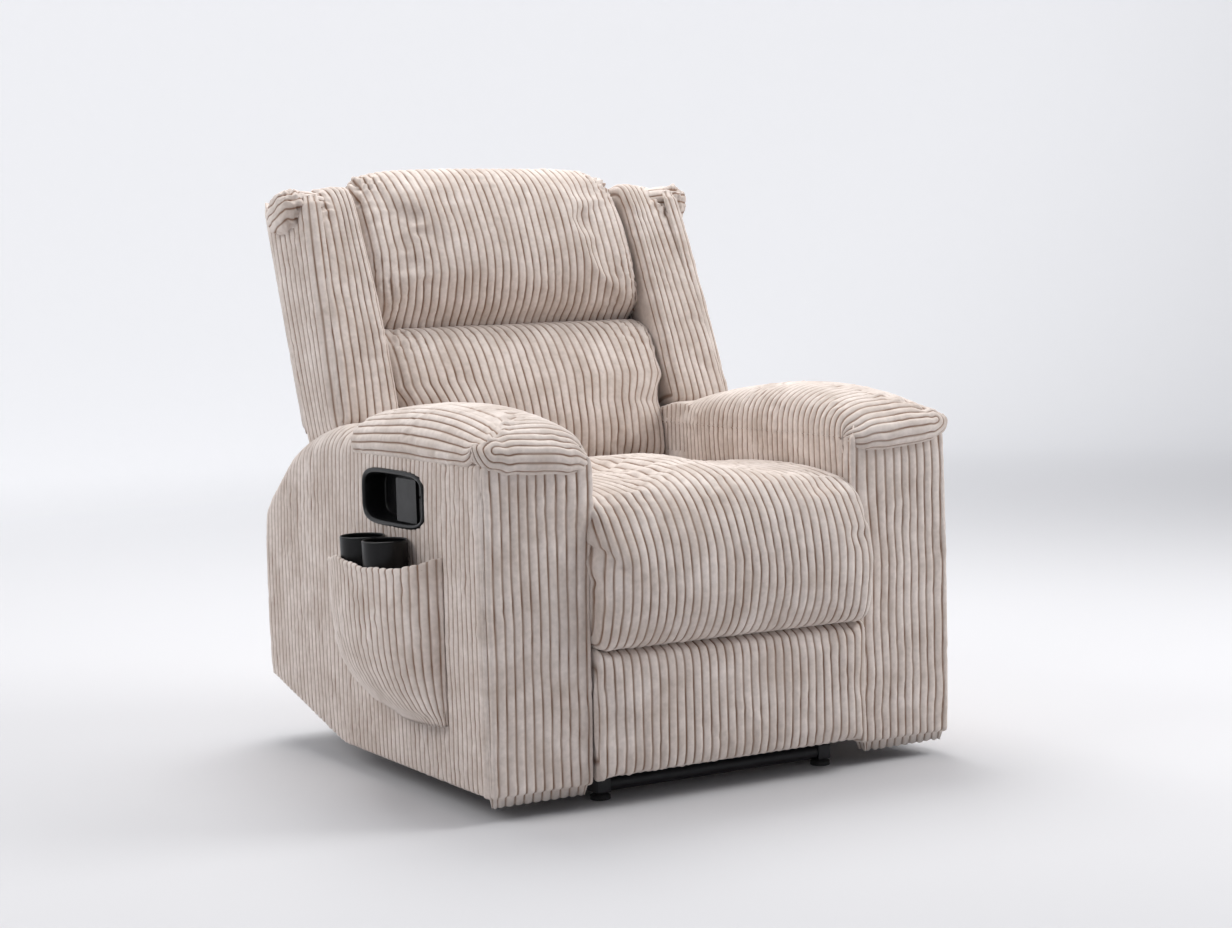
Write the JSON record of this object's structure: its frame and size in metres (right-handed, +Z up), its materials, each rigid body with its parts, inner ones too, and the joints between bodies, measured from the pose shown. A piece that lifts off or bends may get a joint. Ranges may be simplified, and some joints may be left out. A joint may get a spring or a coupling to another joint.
{
  "type": "lift recliner chair",
  "caption": "Wide-rib corduroy power lift recliner with folding footrest, reclining winged back, side pull handle and cup pocket.",
  "frame": {"origin": "floor level under the middle of the outer box, with the side pocket counted in the width", "axes": "+Z up, the chair faces -Y, +X towards the left arm of the person sitting in it"},
  "size_m": [0.9934, 0.963, 1.0522],
  "materials": {
    "corduroy": "wide-rib cream corduroy over foam and board",
    "plywood": "plain plywood",
    "glide_rubber": "black moulded glide",
    "actuator_alloy": "drawn tube and rod",
    "spring_wire": "zigzag spring wire",
    "black_plastic": "satin black moulding",
    "black_steel": "black powder coat"
  },
  "bodies": {
    "base": {"base_rail_left": "black_steel", "base_rail_right": "black_steel", "base_tube_front": "black_steel", "base_tube_rear": "black_steel", "glide_foot_front_left": "glide_rubber", "glide_foot_front_right": "glide_rubber", "glide_foot_rear_left": "glide_rubber", "glide_foot_rear_right": "glide_rubber"},
    "lift_arms": {"lift_arm_left": "black_steel", "lift_arm_right": "black_steel", "lift_torque_tube": "black_steel"},
    "front_links": {"front_link_left": "black_steel", "front_link_right": "black_steel"},
    "actuator": {"actuator_motor": "black_plastic", "actuator_tube": "actuator_alloy"},
    "actuator_push_rod": {"actuator_rod": "actuator_alloy"},
    "chassis": {"arm_board_left": "plywood", "arm_board_right": "plywood", "arm_front_panel_left": "corduroy", "arm_front_panel_right": "corduroy", "arm_inner_panel_left": "corduroy", "arm_inner_panel_right": "corduroy", "arm_outer_panel_left": "corduroy", "arm_outer_panel_right": "corduroy", "arm_pad_left": "corduroy", "arm_pad_right": "corduroy", "arm_rear_panel_left": "corduroy", "arm_rear_panel_right": "corduroy", "handle_bezel": "black_plastic", "mechanism_plate_left": "black_steel", "mechanism_plate_right": "black_steel", "rear_cover": "corduroy", "seat_cushion": "corduroy", "seat_rail_front": "plywood", "seat_rail_rear": "plywood", "seat_spring_left": "spring_wire", "seat_spring_middle": "spring_wire", "seat_spring_right": "spring_wire", "side_pocket": "corduroy"},
    "backrest": {"back_bracket_left": "black_steel", "back_bracket_right": "black_steel", "back_cover": "corduroy", "back_post_left": "plywood", "back_post_right": "plywood", "back_rail_bottom": "plywood", "back_rail_top": "plywood", "back_wing_left": "corduroy", "back_wing_right": "corduroy", "head_cushion": "corduroy", "lumbar_cushion": "corduroy"},
    "footrest_lower_links": {"footrest_link_lower_left": "black_steel", "footrest_link_lower_right": "black_steel"},
    "footrest_upper_links": {"footrest_link_upper_left": "black_steel", "footrest_link_upper_right": "black_steel"},
    "footrest_panel": {"footrest_pad": "corduroy", "footrest_pan": "black_steel"},
    "release_flap": {"handle_flap": "black_plastic"},
    "cup_front": {"cup_holder_front": "black_plastic"},
    "cup_rear": {"cup_holder_rear": "black_plastic"}
  },
  "joints": [
    {"name": "lift", "type": "hinge", "parent": "base", "child": "lift_arms", "pos_m": [0.04265, -0.23648, 0.055], "axis": [1, 0, 0], "range_deg": [0, 50]},
    {"name": "front_link_swing", "type": "hinge", "parent": "base", "child": "front_links", "pos_m": [0.04265, -0.33648, 0.052], "axis": [1, 0, 0], "range_deg": [0, 60]},
    {"name": "chassis_tilt", "type": "hinge", "parent": "lift_arms", "child": "chassis", "pos_m": [0.04265, 0.12352, 0.095], "axis": [1, 0, 0], "range_deg": [-26, 0]},
    {"name": "actuator_swing", "type": "hinge", "parent": "base", "child": "actuator", "pos_m": [0.04265, 0.18352, 0.07], "axis": [1, 0, 0], "range_deg": [0, 3.2]},
    {"name": "actuator_stroke", "type": "slide", "parent": "actuator", "child": "actuator_push_rod", "axis": [0, -0.9945, 0.1047], "range_m": [0, 0.045]},
    {"name": "recline", "type": "hinge", "parent": "chassis", "child": "backrest", "pos_m": [0.04265, 0.27352, 0.42], "axis": [-1, 0, 0], "range_deg": [0, 35]},
    {"name": "footrest_fold", "type": "hinge", "parent": "chassis", "child": "footrest_lower_links", "pos_m": [0.04265, -0.31648, 0.27], "axis": [-1, 0, 0], "range_deg": [0, 122]},
    {"name": "footrest_knee", "type": "hinge", "parent": "footrest_lower_links", "child": "footrest_upper_links", "pos_m": [0.04265, -0.14795, 0.12859], "axis": [1, 0, 0], "range_deg": [0, 97.1]},
    {"name": "footrest_turn", "type": "hinge", "parent": "footrest_upper_links", "child": "footrest_panel", "pos_m": [0.04265, -0.38648, 0.15], "axis": [-1, 0, 0], "range_deg": [0, 65.1]},
    {"name": "flap_pull", "type": "hinge", "parent": "chassis", "child": "release_flap", "pos_m": [-0.40485, -0.20298, 0.4905], "axis": [0, 0, 1], "range_deg": [0, 28], "stiffness_Nm_per_rad": 0.4, "springref_deg": -17.19},
    {"name": "cup_front_lift", "type": "slide", "parent": "chassis", "child": "cup_front", "axis": [0, 0, 1], "range_m": [0, 0.022]},
    {"name": "cup_rear_lift", "type": "slide", "parent": "chassis", "child": "cup_rear", "axis": [0, 0, 1], "range_m": [0, 0.12]}
  ],
  "couplings": [
    {"joint": "front_link_swing", "follows": "lift", "ratio": 1.2},
    {"joint": "chassis_tilt", "follows": "lift", "ratio": -0.52},
    {"joint": "actuator_swing", "follows": "lift", "ratio": 0.06364},
    {"joint": "actuator_stroke", "follows": "lift", "m_per_rad": 0.05145},
    {"joint": "footrest_knee", "follows": "footrest_fold", "ratio": 0.79508},
    {"joint": "footrest_turn", "follows": "footrest_fold", "ratio": 0.53279}
  ]
}
